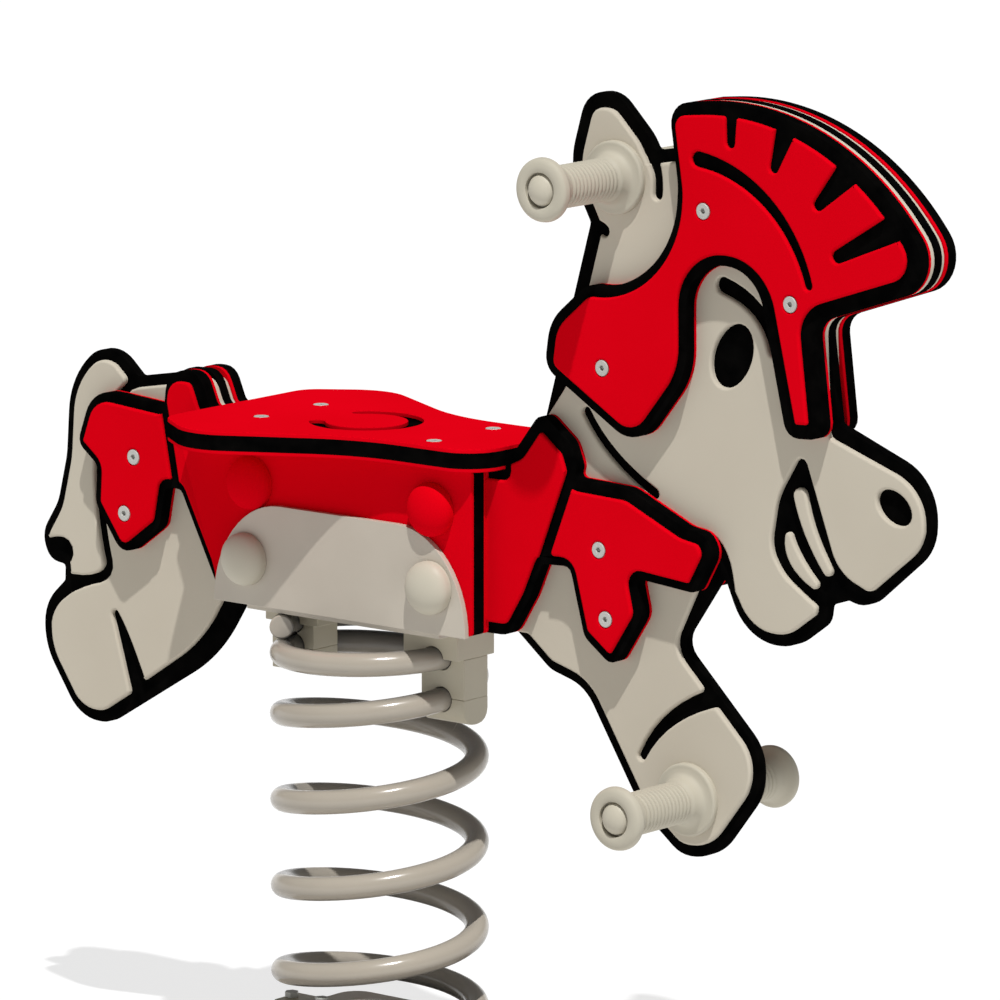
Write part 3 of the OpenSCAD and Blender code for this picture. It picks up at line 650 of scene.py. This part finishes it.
def redraw_foot(point):
    if point.x > FOOT[0].x or not FOOT[2].y < point.y < FOOT[0].y:
        return None
    ray = point - FOOT_MIDDLE
    t = min(STEPS, key=lambda s: ray.angle(on_curve(s, *FOOT) - FOOT_MIDDLE))
    return on_curve(t, *FOOT)


def redraw_spots(point):
    if (point - MUZZLE_AT).length < MUZZLE_REACH:
        return MUZZLE_AT
    for was, now in TAIL_ROOT:
        if (point - was).length < TAIL_REACH:
            return now
    return None


def redraw_face(point):
    """The place of a point of the solid's routed lines, by the first rule that reaches it."""
    moved = redraw_spots(point)
    for line in LINES.values():
        moved = moved or redraw_line(point, *line)
    for redraw in (redraw_eye, redraw_throat, redraw_foot):
        moved = moved or redraw(point)
    return moved or point


# Panels, bracket, clamps and base

COVER_EASE = 0.4 * MM
COVER_RIM = 2.2 * MM
BODY_RIM = 2.4 * MM
BOARD_EASE = 0.8 * MM
SEAT_EASE = 0.9 * MM
BRACKET_EASE = 0.7 * MM
BOLT_EASE = 0.4 * MM

for node in ("helmet_right", "helmet_left", "saddle_right", "saddle_left"):
    eased_copy(node, "cover", COVER_EASE, plane=COVER_Y, radius=COVER_RIM)
for node in ("side_right", "side_left"):
    eased_copy(node, "side", BOARD_EASE)
eased_copy("body_panel", "body", 0, plane=CORE_Y, radius=BODY_RIM, redraw=redraw_face)
eased_copy("seat", "seat", SEAT_EASE)
eased_copy("spring_bracket", "bracket", BRACKET_EASE)
for node in ("clamp_blocks", "clamp_mid_jaws", "clamp_end_jaws", "base_blocks", "base_jaws"):
    eased_copy(node, "clamp", BOARD_EASE)
eased_copy("base_plate", "base", BOARD_EASE)
for node in ("clamp_bolts", "base_bolts", "frame_bolts", "hand_rod", "foot_rod"):
    eased_copy(node, "bolt", BOLT_EASE)


# Grips and pegs

GRIP_R = 17.5 * MM
FLANGE_R = 30 * MM
KNOB_R = 25.75 * MM
BORE_R = 7.3 * MM
PLUG_R = 14.3 * MM
COLLAR_L = 15.5 * MM
KNOB_L = 23 * MM
RIB_GAP = 3 * MM
RIB_D = 1.7 * MM
RIB_STEPS = 10
RIBS = 12
PLUG_DEPTH = 6 * MM
PLUG_GAP = 0.9 * MM
MOUTH_WIDER = 0.8 * MM
MOUTH_DROP = 0.6 * MM
COLLAR_STEPS = 4
KNOB_STEPS = 5
GRIP_SIDES = 72

# Shares of the flare over the grip's radius, and of the length of the collar or knob
COLLAR_SHARES = [(1, 0.0), (1, 0.2), (0.96, 0.28), (0.86, 0.34), (0.64, 0.37), (0.36, 0.46),
                 (0.18, 0.68), (0.08, 1)]
KNOB_SHARES = [(0, 0.08), (0.12, 0.26), (0.42, 0.44), (0.8, 0.58), (1, 0.68), (1, 0.78), (0.9, 0.9),
               (0.6, 0.975), (0.24, 1)]


def grip_profile(length):
    """Half outline of a grip from the panel outwards: flange, collar, ribs, knob and the plug's mouth."""
    collar = [(GRIP_R + r * (FLANGE_R - GRIP_R), s * COLLAR_L) for r, s in COLLAR_SHARES]
    knob = [(GRIP_R + r * (KNOB_R - GRIP_R), length - KNOB_L + s * KNOB_L) for r, s in KNOB_SHARES]
    start = COLLAR_L + RIB_GAP
    step = (length - KNOB_L - start) / RIBS
    ribs = []
    for i in range(RIBS):
        for k in range(RIB_STEPS):
            share = k / RIB_STEPS
            crown = math.sqrt(1 - (2 * share - 1) ** 2)
            ribs.append((GRIP_R - RIB_D * (1 - crown), start + (i + share) * step))
    ribs.append((GRIP_R - RIB_D, start + RIBS * step))
    mouth = [(PLUG_R + MOUTH_WIDER, length), (PLUG_R, length - MOUTH_DROP), (PLUG_R, length - PLUG_DEPTH),
             (BORE_R, length - PLUG_DEPTH)]
    flare = collar[:2] + spline(collar[1:], COLLAR_STEPS)
    return [(BORE_R, 0)] + flare + ribs + spline(knob, KNOB_STEPS) + mouth


def add_grip(node):
    low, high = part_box(node)
    side = 1 if high.y > 0 else -1
    middle = (low + high) / 2
    work = bmesh.new()
    turned(work, grip_profile(high.y - low.y), GRIP_SIDES, across(middle.x, side * CORE_Y, middle.z, side))
    place_piece(finish_turned(work, node + "_shown", "grip"), node, "rider")


for node in ("hand_grip_right", "hand_grip_left", "foot_peg_right", "foot_peg_left"):
    add_grip(node)


# Domed caps

DOME_STEPS = 14
DOME_CHAMFER = 0.5 * MM
PLUG_BASE = 0.8 * MM
PLUG_STANDS = 4 * MM
PLUG_SIDES = 64
CAP_BASE = 4 * MM
CAP_SIDES = 72
PLATE_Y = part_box("spring_bracket")[1].y


def dome_profile(radius, base, height):
    turns = [math.pi / 2 * k / DOME_STEPS for k in range(DOME_STEPS)]
    arc = [(radius * math.cos(a), base + (height - base) * math.sin(a)) for a in turns]
    return [(radius - DOME_CHAMFER, 0), (radius, DOME_CHAMFER)] + arc + [(0, height)]


def add_plugs(node):
    low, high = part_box(node)
    middle = (low + high) / 2
    radius = (high.z - low.z) / 2 - PLUG_GAP
    height = PLUG_DEPTH + PLUG_STANDS
    work = bmesh.new()
    for side in (-1, 1):
        turned(work, dome_profile(radius, PLUG_BASE, height), PLUG_SIDES,
               across(middle.x, side * (high.y - height), middle.z, side))
    place_piece(finish_turned(work, node + "_shown", "beige_cap"), node, "rider")


def add_domes(node, face_y, material):
    low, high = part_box(node)
    radius = (high.z - low.z) / 2
    height = high.y - face_y
    work = bmesh.new()
    for x in (low.x + radius, high.x - radius):
        for side in (-1, 1):
            turned(work, dome_profile(radius, CAP_BASE, height), CAP_SIDES,
                   across(x, side * face_y, low.z + radius, side))
    place_piece(finish_turned(work, node + "_shown", material), node, "rider")


add_plugs("hand_caps")
add_plugs("foot_caps")
add_domes("red_caps", SIDE_Y, "red_cap")
add_domes("beige_caps", PLATE_Y, "beige_cap")


# Flush screws with a hexagon socket

HEAD_R = 6.5 * MM
HEAD_H = 4 * MM
SHANK_R = 4 * MM
HEAD_CHAMFER = 0.5 * MM
HEAD_SIDES = 48
SHANK_SIDES = 32
SOCKET_R = 2.1 * MM
SOCKET_D = 3 * MM
SOCKET_CHAMFER = 0.35 * MM
SCREW_WELD = 0.01 * MM
SCREW_SMOOTH = 30
SAME_SCREW = 2.2 * HEAD_R


def hex_radius(angle, flat):
    return flat / math.cos((angle % (math.pi / 3)) - math.pi / 6)


def add_head(work, matrix):
    """A flush head seen from outside: matrix has its Z out of the face and its origin on the face."""
    angles = [2 * math.pi * k / HEAD_SIDES for k in range(HEAD_SIDES)]
    rounds = [(SHANK_R, -HEAD_H), (HEAD_R, -HEAD_H), (HEAD_R, -HEAD_CHAMFER), (HEAD_R - HEAD_CHAMFER, 0)]
    hexagons = [(SOCKET_CHAMFER, 0), (0, -SOCKET_CHAMFER), (0, -SOCKET_D)]
    loops = [[(radius, z) for _ in angles] for radius, z in rounds]
    loops += [[(hex_radius(a, SOCKET_R) + wider, z) for a in angles] for wider, z in hexagons]
    rings = [[work.verts.new(matrix @ Vector((r * math.cos(a), r * math.sin(a), z)))
              for (r, z), a in zip(loop, angles)] for loop in loops]
    for low, high in zip(rings, rings[1:]):
        for k in range(HEAD_SIDES):
            n = (k + 1) % HEAD_SIDES
            work.faces.new([low[k], low[n], high[n], high[k]])
    work.faces.new(rings[-1])


def shank(work, matrix, length, closed):
    profile = [(SHANK_R, -HEAD_H), (SHANK_R, -length)]
    turned(work, profile + ([(0, -length)] if closed else []), SHANK_SIDES, matrix)


def add_screws(node, places, matrix_of, length, closed):
    work = bmesh.new()
    for place in places:
        matrix = matrix_of(place)
        add_head(work, matrix)
        shank(work, matrix, length, closed)
    bmesh.ops.remove_doubles(work, verts=work.verts, dist=SCREW_WELD)
    place_piece(finish_turned(work, node + "_shown", "bolt", SCREW_SMOOTH), node, "rider")


def screw_places(node):
    """Middles of a node's separate screws across the panels, from clusters of its points."""
    flats = [Vector((v.co.x, v.co.z)) for v in frame["nodes"][node].data.vertices]
    seeds = []
    for flat in flats:
        if not any((flat - seed).length < SAME_SCREW for seed in seeds):
            seeds.append(flat)
    places = []
    for seed in seeds:
        near = [flat for flat in flats if (flat - seed).length < SAME_SCREW]
        xs = [flat.x for flat in near]
        zs = [flat.y for flat in near]
        places.append(((min(xs) + max(xs)) / 2, (min(zs) + max(zs)) / 2))
    return places


for node in ("helmet_bolts", "saddle_bolts"):
    spots = [(x, z, side) for x, z in screw_places(node) for side in (-1, 1)]
    add_screws(node, spots, lambda p: across(p[0], p[2] * COVER_Y, p[1], p[2]), COVER_Y, False)

seat_low, seat_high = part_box("seat_screws")
seat_rows = (seat_low.x + HEAD_R, seat_high.x - HEAD_R)
seat_lines = (seat_low.y + HEAD_R, seat_high.y - HEAD_R)
seat_spots = [(x, y) for x in seat_rows for y in seat_lines]
add_screws("seat_screws", seat_spots, lambda p: Matrix.Translation((p[0], p[1], seat_high.z)),
           seat_high.z - seat_low.z, True)


# Coil spring

WIRE_R = 10 * MM
COIL_R = 81 * MM
TURNS = 7
FREE_PITCH = 73 * MM
END_PITCH = 20.3 * MM
CLOSED_TURNS = 0.85
RAMP_TURNS = 1.1
END_ANGLE = math.radians(219)
RINGS_PER_TURN = 72
WIRE_SIDES = 24
WIRE_SMOOTH = 35
WIRE_GAP = 0.3 * MM
WIRE_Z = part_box("base_plate")[1].z + WIRE_GAP + WIRE_R
CUT_CHAMFER = 1.2 * MM
AHEAD_TURNS = 0.002


def rise(t):
    """Height of the wire after t turns from an end: closed turns, a ramp, then the free pitch."""
    gain = (FREE_PITCH - END_PITCH) / RAMP_TURNS
    if t < CLOSED_TURNS:
        return END_PITCH * t
    if t < CLOSED_TURNS + RAMP_TURNS:
        return END_PITCH * t + gain * (t - CLOSED_TURNS) ** 2 / 2
    full = CLOSED_TURNS + RAMP_TURNS
    return END_PITCH * full + gain * RAMP_TURNS ** 2 / 2 + FREE_PITCH * (t - full)


def coil_point(t):
    whole = 2 * rise(TURNS / 2)
    z = rise(t) if t < TURNS / 2 else whole - rise(TURNS - t)
    angle = END_ANGLE + 2 * math.pi * t
    return Vector((COIL_R * math.cos(angle), COIL_R * math.sin(angle), WIRE_Z + z))


def coil_part(name, first, last, cut_end):
    """Part of the wire's one tube, from turn first to turn last, with a chamfered cut at its own end."""
    count = round((last - first) * RINGS_PER_TURN)
    stations = [(first + (last - first) * i / count, 1.0, 0.0) for i in range(count + 1)]
    cut_scale = 1 - CUT_CHAMFER / WIRE_R
    if cut_end == "first":
        stations = [(first, cut_scale, 0.0), (first, 1.0, CUT_CHAMFER)] + stations[1:]
    else:
        stations = stations[:-1] + [(last, 1.0, -CUT_CHAMFER), (last, cut_scale, 0.0)]
    work = bmesh.new()
    rings = []
    for t, scale, slide in stations:
        middle = coil_point(t)
        ahead = (coil_point(t + AHEAD_TURNS) - coil_point(t - AHEAD_TURNS)).normalized()
        angle = END_ANGLE + 2 * math.pi * t
        out = Vector((math.cos(angle), math.sin(angle), 0))
        up = ahead.cross(out).normalized()
        angles = [2 * math.pi * k / WIRE_SIDES for k in range(WIRE_SIDES)]
        middle += ahead * slide
        rings.append([work.verts.new(middle + WIRE_R * scale * (math.cos(a) * out + math.sin(a) * up))
                      for a in angles])
    for low, high in zip(rings, rings[1:]):
        for k in range(WIRE_SIDES):
            n = (k + 1) % WIRE_SIDES
            work.faces.new([low[k], low[n], high[n], high[k]])
    work.faces.new(rings[0] if cut_end == "first" else rings[-1])
    piece = finish_turned(work, name, "coil", WIRE_SMOOTH)
    return piece


lower_coil = coil_part("spring_lower", 0, TURNS / 2, "first")
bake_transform(lower_coil)
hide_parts("spring")
upper_coil = coil_part("spring_upper", TURNS / 2, TURNS, "last")
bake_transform(upper_coil)
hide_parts("spring")


# Floor, light and camera

FLOOR_HALF = 14.0
FLOOR_DROP = 0.2 * MM
FLOOR_GREY = (0.25, 0.25, 0.25, 1)
FLOOR_GLOW = 0.74
FLOOR_ROUGH = 0.9
WHITE = (1, 1, 1, 1)
SKY = 0.17
HORIZON = 1.0
HORIZON_LOW = 0.08
HORIZON_HIGH = 0.20
SUN_FROM = Vector((0.31, -0.325, 1.0))
SUN_STRENGTH = 3.4
SUN_WIDTH = math.radians(1.0)


def floor_material():
    material, _, shader = new_material("floor_white")
    shader.inputs["Base Color"].default_value = FLOOR_GREY
    shader.inputs["Roughness"].default_value = FLOOR_ROUGH
    shader.inputs["Emission Color"].default_value = WHITE
    shader.inputs["Emission Strength"].default_value = FLOOR_GLOW
    return material


def add_floor():
    signs = [(-1, -1), (1, -1), (1, 1), (-1, 1)]
    corners = [(x * FLOOR_HALF, y * FLOOR_HALF, -FLOOR_DROP) for x, y in signs]
    mesh_data = bpy.data.meshes.new("floor")
    mesh_data.from_pydata(corners, [], [(0, 1, 2, 3)])
    mesh_data.materials.append(floor_material())
    floor = bpy.data.objects.new("floor", mesh_data)
    bpy.context.scene.collection.objects.link(floor)


def add_world():
    """A soft room, white round the horizon and dimmer overhead."""
    world = bpy.data.worlds.new("studio")
    world.use_nodes = True
    tree = world.node_tree
    parts = add_node(tree, "ShaderNodeSeparateXYZ")
    tree.links.new(add_node(tree, "ShaderNodeTexCoord").outputs["Generated"], parts.inputs["Vector"])
    background = tree.nodes["Background"]
    background.inputs["Color"].default_value = WHITE
    strength = spread(tree, parts.outputs["Z"], HORIZON_LOW, HORIZON_HIGH, HORIZON, SKY)
    tree.links.new(strength, background.inputs["Strength"])
    bpy.context.scene.world = world


def add_sun():
    light = bpy.data.lights.new("sun", "SUN")
    light.energy = SUN_STRENGTH
    light.angle = SUN_WIDTH
    lamp = bpy.data.objects.new("sun", light)
    lamp.rotation_euler = SUN_FROM.to_track_quat("Z", "Y").to_euler()
    bpy.context.scene.collection.objects.link(lamp)


def add_camera():
    data = bpy.data.cameras.new("camera")
    data.sensor_width = SENSOR_MM
    data.lens = FOCAL_PX * SENSOR_MM / IMAGE_PX
    data.clip_end = CLIP_END
    camera = bpy.data.objects.new("camera", data)
    camera.location = CAMERA_AT
    camera.rotation_euler = (CAMERA_AT - CAMERA_AIM).to_track_quat("Z", "Y").to_euler()
    bpy.context.scene.collection.objects.link(camera)
    bpy.context.scene.camera = camera


bpy.context.scene.view_settings.view_transform = "Standard"
add_floor()
add_world()
add_sun()
add_camera()
